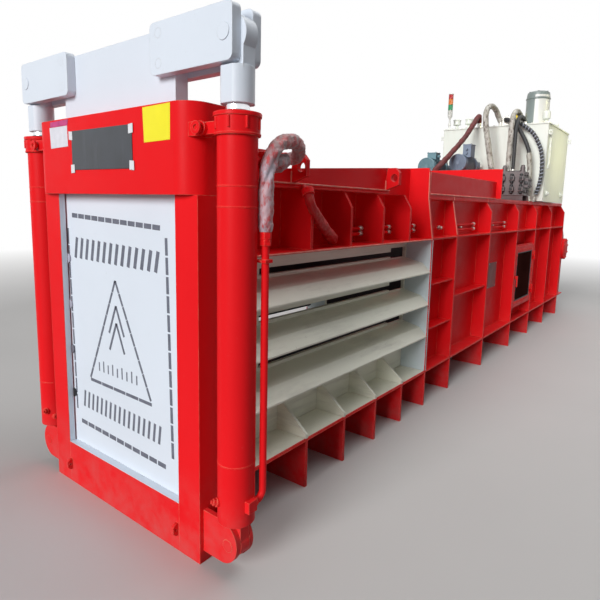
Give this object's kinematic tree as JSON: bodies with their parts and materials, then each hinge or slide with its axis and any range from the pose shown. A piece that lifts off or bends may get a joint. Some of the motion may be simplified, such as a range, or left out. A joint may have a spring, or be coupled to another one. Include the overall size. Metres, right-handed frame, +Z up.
{
  "type": "recycling baler",
  "caption": "Horizontal closed-door recycling baler with a hydraulic lifting gate, white bale chamber, red ribbed body, feed hopper and rear power unit.",
  "frame": {"origin": "centre of the bounding box's underside, on the floor", "axes": "+X along the machine from the lifting gate to the power unit, +Y to the side away from the access door, +Z up"},
  "size_m": [7.785, 1.7758, 3.19],
  "materials": {
    "red_paint": "gloss",
    "white_paint": "satin",
    "black_plate": "satin",
    "pad_plastic": "matte",
    "pin_steel": "satin",
    "chrome_rod": "polished",
    "sleeve": "matte",
    "raw_steel": "matte",
    "wear_steel": "satin",
    "pane": "gloss",
    "tank_paint": "satin",
    "yellow_plastic": "gloss",
    "light_plastic": "gloss",
    "teal_paint": "gloss",
    "grey_paint": "satin",
    "block_steel": "satin",
    "hose_rubber": "matte"
  },
  "bodies": {
    "baler_frame": {"tower_columns": "red_paint", "tower_sill": "red_paint", "tower_beam": "red_paint", "beam_plates": "black_plate", "gate_pads": "pad_plastic", "lift_tubes": "red_paint", "lift_glands": "red_paint", "gland_lugs": "red_paint", "foot_clevises": "red_paint", "foot_pins": "pin_steel", "lift_ports": "red_paint", "lift_pipes": "red_paint", "lift_hoses": "sleeve", "chamber_walls": "white_paint", "chamber_rails": "white_paint", "chamber_gussets": "white_paint", "chamber_ends": "white_paint", "chamber_floor": "raw_steel", "chamber_roof": "red_paint", "upper_webs": "red_paint", "upper_rails": "red_paint", "upper_ribs": "red_paint", "lifting_lugs": "red_paint", "side_flanges": "red_paint", "base_flanges": "red_paint", "leg_plates": "red_paint", "body_walls": "red_paint", "body_ribs": "red_paint", "body_floor": "raw_steel", "body_cover": "red_paint", "rear_frame": "red_paint", "hopper_walls": "red_paint", "hopper_back": "red_paint", "shear_blade": "wear_steel", "main_tube": "red_paint", "trunnion_caps": "red_paint", "door_frame": "red_paint", "tank": "tank_paint", "tank_lid": "tank_paint", "tank_filter": "tank_paint", "signal_light": "light_plastic", "motors": "teal_paint", "pumps": "grey_paint", "valve_block": "block_steel", "oil_hoses": "hose_rubber"},
    "lifting_gate": {"gate": "white_paint", "crosshead_ears": "white_paint", "crosshead_pins": "white_paint", "rod_eyes": "white_paint", "lift_rods": "chrome_rod"},
    "ram_carriage": {"ram": "raw_steel", "ram_wear": "wear_steel", "ram_pin": "pin_steel", "main_rod": "chrome_rod"},
    "door": {"access_door": "red_paint", "door_pane": "pane"},
    "latch": {"door_latch": "red_paint"},
    "oil_cap": {"filler_cap": "yellow_plastic"},
    "teal_rotor": {"rotor_teal": "pin_steel"},
    "blue_rotor": {"rotor_blue": "pin_steel"}
  },
  "joints": [
    {"name": "gate_lift", "type": "slide", "parent": "baler_frame", "child": "lifting_gate", "axis": [0, 0, 1], "range_m": [0, 1.1]},
    {"name": "ram_press", "type": "slide", "parent": "baler_frame", "child": "ram_carriage", "axis": [-1, 0, 0], "range_m": [0, 2.4]},
    {"name": "door_swing", "type": "hinge", "parent": "baler_frame", "child": "door", "pos_m": [1.8155, -0.62, 0.8], "axis": [0, 0, 1], "range_deg": [0, 110]},
    {"name": "latch_turn", "type": "hinge", "parent": "door", "child": "latch", "pos_m": [1.0515, -0.62, 0.82], "axis": [0, -1, 0], "range_deg": [0, 90]},
    {"name": "cap_turn", "type": "hinge", "parent": "baler_frame", "child": "oil_cap", "pos_m": [2.1515, -0.185, 2.85], "axis": [0, 0, 1], "range_deg": [0, 90]},
    {"name": "teal_rotor_spin", "type": "hinge", "parent": "baler_frame", "child": "teal_rotor", "pos_m": [0.7515, 0.375, 2.1], "axis": [1, 0, 0], "continuous": true},
    {"name": "blue_rotor_spin", "type": "hinge", "parent": "baler_frame", "child": "blue_rotor", "pos_m": [1.1515, 0.15, 2.17], "axis": [1, 0, 0], "continuous": true}
  ]
}
